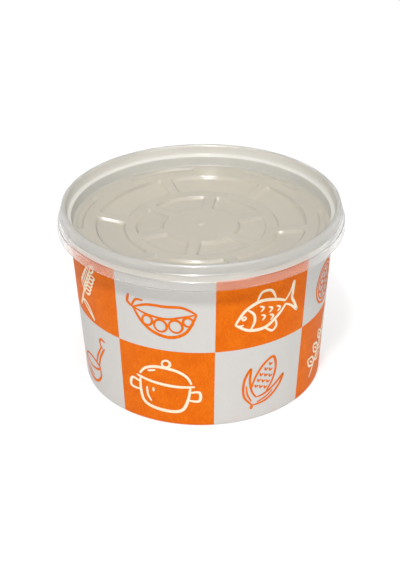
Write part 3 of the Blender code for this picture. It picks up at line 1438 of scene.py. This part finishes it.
def lid_plastics() -> tuple[MilkyPlastic, ...]:
    """The lid's one plastic in three finishes; the plug wall's is a lit copy, painted light on the shade in
    the recess between ring and panel.

    Returns:
        The finishes of the skirt, of the panel and ring, and of the plug wall.
    """
    rim = MilkyPlastic(name="lid_plastic_rim", gloss=0.65, gloss_roughness=0.12)
    panel = MilkyPlastic(
        name="lid_plastic_panel",
        colour=(0.9, 0.89, 0.855, 1.0),
        cloudy=(0.88, 0.865, 0.83, 1.0),
        roughness=0.4,
        transmission=0.78,
        refraction=1.4,
        gloss=0.6,
        gloss_roughness=0.14,
        scatter=0.55,
        core=(0.955, 0.91, 0.815, 1.0),
        core_cloudy=(0.935, 0.885, 0.78, 1.0),
    )
    # Painted light: the plug wall lies in shade between ring and panel, so this copy is far less clear and
    # reflects more light, which lifts that shade.
    plug = replace(
        panel,
        name="lid_plastic_plug_painted_light",
        transmission=0.35,
        gloss=0.3,
        core=(0.76, 0.745, 0.695, 1.0),
        core_cloudy=(0.745, 0.725, 0.665, 1.0),
    )
    return rim, panel, plug


@dataclass(frozen=True)
class Cell:
    """One field of the checker and the motif in it."""

    column: int
    row: Row
    motif: Callable[[], list[Stroke]]
    shift: Point = (0.0, 0.0)
    turn: float = 0.0
    scale: float = 1.0

    def ink(self) -> Ink:
        """White lines on an orange field, orange lines on a white one."""
        orange_field = (self.column % 2 == 0) == (self.row is Row.UPPER)
        return Ink.WHITE if orange_field else Ink.ORANGE


@dataclass
class Drawings:
    """The printed line drawings: thin ink ribbons laid on the wall. Sizes in mm."""

    wall: CupWall
    layout: CheckerPrint
    inks: dict[Ink, bpy.types.Material]
    lift: float = 0.03
    ink_depth: float = 0.03
    stroke_lift: float = 0.003
    row_middles: tuple[float, float] = (17.6, 51.0)
    cells: tuple[Cell, ...] = (
        Cell(0, Row.UPPER, corn_cob, (0.6, 0.4), 12.0, 0.92),
        Cell(0, Row.LOWER, herb_sprig, (0.0, 0.0), 0.0, 0.92),
        Cell(1, Row.UPPER, fish, (0.0, 0.0), 8.0, 0.98),
        Cell(1, Row.LOWER, lemon_slice, (0.4, 0.2), -6.0, 0.95),
        Cell(2, Row.UPPER, wheat_ear, (1.0, 0.0), -8.0, 0.95),
        Cell(2, Row.LOWER, ladle, (0.8, -0.4), 4.0, 0.9),
        Cell(3, Row.UPPER, pea_pod, (0.4, 0.4), 9.0, 0.96),
        Cell(3, Row.LOWER, lidded_pot, (-0.3, 0.6), -5.0, 1.0),
        Cell(4, Row.UPPER, fish, (0.2, 0.3), 11.0, 1.0),
        Cell(4, Row.LOWER, corn_cob, (0.5, 0.4), -22.0, 0.86),
        Cell(5, Row.UPPER, lemon_slice, (-0.6, 0.0), 10.0, 0.9),
        Cell(5, Row.LOWER, herb_sprig, (-0.8, 0.4), -4.0, 0.95),
        Cell(6, Row.UPPER, lidded_pot, (0.0, 0.0), 5.0, 0.94),
        Cell(6, Row.LOWER, pea_pod, (0.3, 0.2), -12.0, 0.95),
        Cell(7, Row.UPPER, ladle, (0.0, 0.6), 0.0, 0.9),
        Cell(7, Row.LOWER, wheat_ear, (-0.4, 0.2), 6.0, 0.95),
    )

    def build(self) -> list[bpy.types.Object]:
        """Draws every cell's motif.

        Returns:
            The drawings, one object for each cell.
        """
        return [self.draw(cell) for cell in self.cells]

    def place(self, cell: Cell, point: Vector, lift: float) -> Vector:
        """Wraps a motif's point on the wall.

        Args:
            cell: the motif's cell.
            point: the point in mm round the motif's middle.
            lift: how far it stands off the wall.

        Returns:
            The place in metres.
        """
        turn = math.radians(cell.turn)
        across = (point.x * math.cos(turn) - point.y * math.sin(turn)) * cell.scale + cell.shift[0]
        height = (point.x * math.sin(turn) + point.y * math.cos(turn)) * cell.scale + cell.shift[1]
        height += self.row_middles[cell.row is Row.UPPER]
        radius = self.wall.radius(height) + lift
        angle = math.radians(self.layout.line_angle(cell.column + 0.5, height)) + across / radius
        return Vector((radius * math.cos(angle), radius * math.sin(angle), height)) * MM

    def draw(self, cell: Cell) -> bpy.types.Object:
        """Draws one cell's motif as ink ribbons.

        Args:
            cell: the cell.

        Returns:
            The joined drawing.
        """
        strokes = enumerate(cell.motif())
        ribbons = [self.ribbon(cell, stroke, self.lift + i * self.stroke_lift) for i, stroke in strokes]
        Bench.deselect()
        for ribbon in ribbons:
            ribbon.select_set(True)
        obj = ribbons[0]
        bpy.context.view_layer.objects.active = obj
        bpy.ops.object.join()
        obj.name = f"drawing_{cell.row.value}_{cell.column}"
        obj.data.name = obj.name
        obj.data.materials.append(self.inks[cell.ink()])
        Bench.thicken(obj, self.ink_depth, 1.0)
        Bench.smooth(obj, 40.0)
        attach(obj, "root")
        return obj

    def ribbon(self, cell: Cell, stroke: Stroke, lift: float) -> bpy.types.Object:
        """Lays one stroke on the wall: a grid strip bent along the stroke's path.

        Args:
            cell: the stroke's cell.
            stroke: the stroke.
            lift: how far it stands off the wall, in mm.

        Returns:
            The strip, a sheet with its face outwards.
        """
        path = stroke.path()
        last = len(path) - 1
        bpy.ops.mesh.primitive_grid_add(x_subdivisions=last, y_subdivisions=1, size=2.0)
        obj = bpy.context.object
        for vertex in obj.data.vertices:
            part = (vertex.co.x + 1.0) / 2.0
            middle, along = path[round(part * last)]
            side = Vector((-along.y, along.x)) * math.copysign(stroke.half_width(part), vertex.co.y)
            vertex.co = self.place(cell, middle + side, lift)
        if stroke.closed:
            bpy.ops.object.mode_set(mode="EDIT")
            bpy.ops.mesh.select_all(action="SELECT")
            bpy.ops.mesh.remove_doubles(threshold=WELD)
            bpy.ops.object.mode_set(mode="OBJECT")
        return obj


def report(piece: bpy.types.Object) -> None:
    """Logs a finished piece's name, size and number of faces."""
    faces = len(piece.data.polygons)
    log.info("%s: %.1f x %.1f x %.1f mm, %d faces", piece.name, *(piece.dimensions / MM), faces)


def main() -> None:
    """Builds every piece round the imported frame."""
    logging.basicConfig(level=logging.INFO, format="%(message)s")
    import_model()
    Studio().build()
    fibre = fibre_group()
    handling = handling_group()
    inks = Inks()
    layout = CheckerPrint()
    printed = PrintedPaper(inks, layout).material(fibre, handling)
    plain = PlainPaper().material(fibre, handling)
    plastics = [finish.material(handling) for finish in lid_plastics()]
    line_inks = {
        Ink.ORANGE: LineInk("orange_ink", inks.orange, inks.orange_thin).material(fibre),
        Ink.WHITE: LineInk("bare_white_line", inks.cream, inks.cream_thin).material(fibre),
    }
    wall = CupWall(seam=layout.seam)
    report(wall.build(printed, plain))
    for drawing in Drawings(wall, layout, line_inks).build():
        report(drawing)
    report(CupBase(wall).build(plain))
    report(Lid().build(plastics))


if __name__ == "__main__":
    main()
